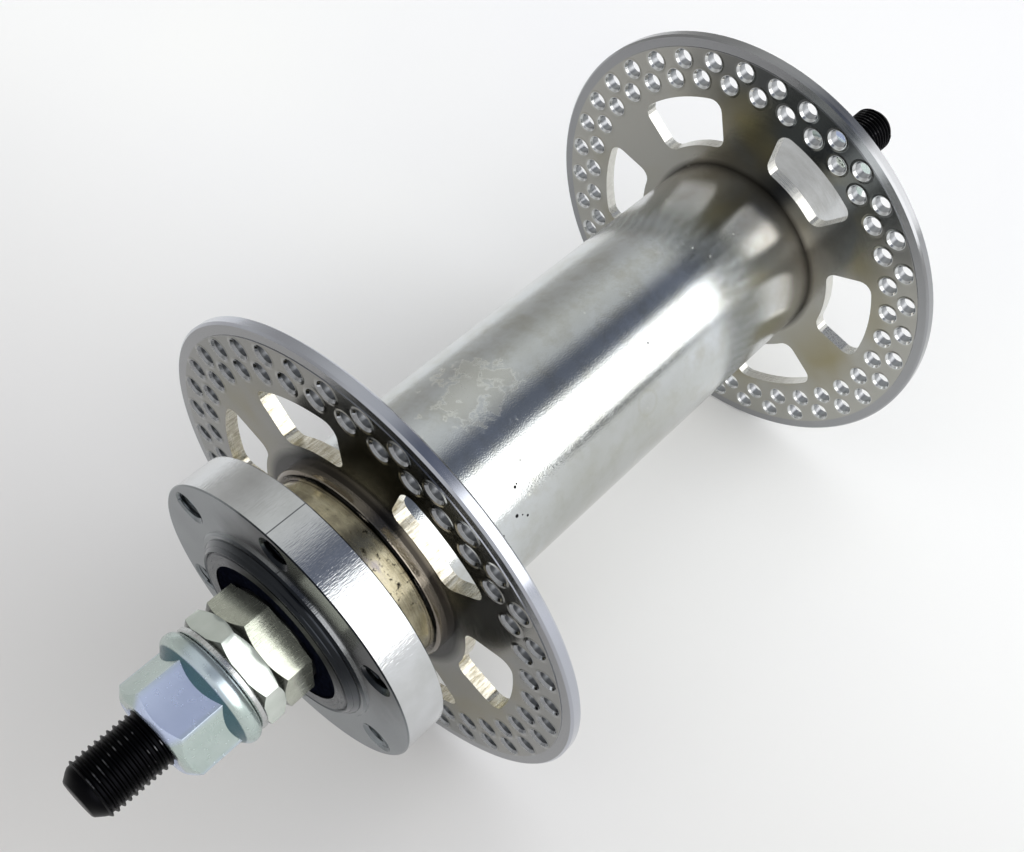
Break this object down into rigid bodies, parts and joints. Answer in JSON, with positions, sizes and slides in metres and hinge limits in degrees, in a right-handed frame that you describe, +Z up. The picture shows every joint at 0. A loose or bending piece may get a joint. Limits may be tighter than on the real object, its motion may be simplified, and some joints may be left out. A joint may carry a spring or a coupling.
{
  "type": "bicycle front hub",
  "caption": "Wide bicycle front hub: perforated spoke flanges on a chromed tube, a brake disc mount, sealed ball bearings and a threaded solid axle with nuts.",
  "frame": {"origin": "on the axle's axis, halfway between the two spoke flanges", "axes": "+Y along the axle towards the brake disc side, +Z up, +X forwards"},
  "size_m": [0.085, 0.2, 0.085],
  "materials": {
    "black_axle": "black oxide on turned steel",
    "spacer_steel": "plain drawn tube",
    "chromed_tube": "satin chrome on a drawn tube",
    "nickel_flange": "dull nickel on pressed steel",
    "plated_sleeve": "turned steel with a faint gold tint",
    "zinc_disc_mount": "bright zinc on turned steel",
    "race_steel": "ground bearing steel",
    "ball_steel": "polished bearing steel",
    "cage_steel": "pressed steel",
    "seal_rubber": "smooth black rubber",
    "plated_nut": "nickel on cut steel",
    "washer_steel": "bright zinc on pressed steel",
    "zinc_axle_nut": "clear zinc on cut steel"
  },
  "bodies": {
    "axle": {"axle": "black_axle", "bearing_spacer": "spacer_steel", "left_inner_race": "race_steel", "right_inner_race": "race_steel", "left_cone_nut": "plated_nut", "right_cone_nut": "plated_nut", "left_lock_nut": "plated_nut", "right_lock_nut": "plated_nut"},
    "hub": {"barrel_tube": "chromed_tube", "left_flange": "nickel_flange", "right_flange": "nickel_flange", "left_bearing_sleeve": "plated_sleeve", "right_bearing_sleeve": "plated_sleeve", "disc_mount": "zinc_disc_mount", "left_outer_race": "race_steel", "right_outer_race": "race_steel", "left_outer_seal": "seal_rubber", "left_inner_seal": "seal_rubber", "right_outer_seal": "seal_rubber", "right_inner_seal": "seal_rubber"},
    "left_ball_set": {"left_balls": "ball_steel", "left_cage": "cage_steel"},
    "right_ball_set": {"right_balls": "ball_steel", "right_cage": "cage_steel"},
    "left_washer": {"left_washer": "washer_steel"},
    "right_washer": {"right_washer": "washer_steel"},
    "left_nut": {"left_axle_nut": "zinc_axle_nut"},
    "right_nut": {"right_axle_nut": "zinc_axle_nut"}
  },
  "joints": [
    {"name": "hub_spin", "type": "hinge", "parent": "axle", "child": "hub", "pos_m": [0, 0, 0], "axis": [0, 1, 0], "continuous": true},
    {"name": "left_balls_roll", "type": "hinge", "parent": "axle", "child": "left_ball_set", "pos_m": [0, 0.0619, 0], "axis": [0, 1, 0], "continuous": true},
    {"name": "right_balls_roll", "type": "hinge", "parent": "axle", "child": "right_ball_set", "pos_m": [0, -0.0619, 0], "axis": [0, 1, 0], "continuous": true},
    {"name": "left_washer_slide", "type": "slide", "parent": "axle", "child": "left_washer", "axis": [0, 1, 0], "range_m": [0, 0.0117]},
    {"name": "left_nut_turn", "type": "hinge", "parent": "left_washer", "child": "left_nut", "pos_m": [0, 0.0823, 0], "axis": [0, 1, 0], "range_deg": [0, 4300]},
    {"name": "right_washer_slide", "type": "slide", "parent": "axle", "child": "right_washer", "axis": [0, -1, 0], "range_m": [0, 0.0117]},
    {"name": "right_nut_turn", "type": "hinge", "parent": "right_washer", "child": "right_nut", "pos_m": [0, -0.0823, 0], "axis": [0, -1, 0], "range_deg": [0, 4300]}
  ],
  "couplings": [
    {"joint": "left_balls_roll", "follows": "hub_spin", "ratio": 0.619},
    {"joint": "right_balls_roll", "follows": "hub_spin", "ratio": 0.619},
    {"joint": "left_washer_slide", "follows": "left_nut_turn", "m_per_rad": 0.00015549},
    {"joint": "right_washer_slide", "follows": "right_nut_turn", "m_per_rad": 0.00015549}
  ]
}
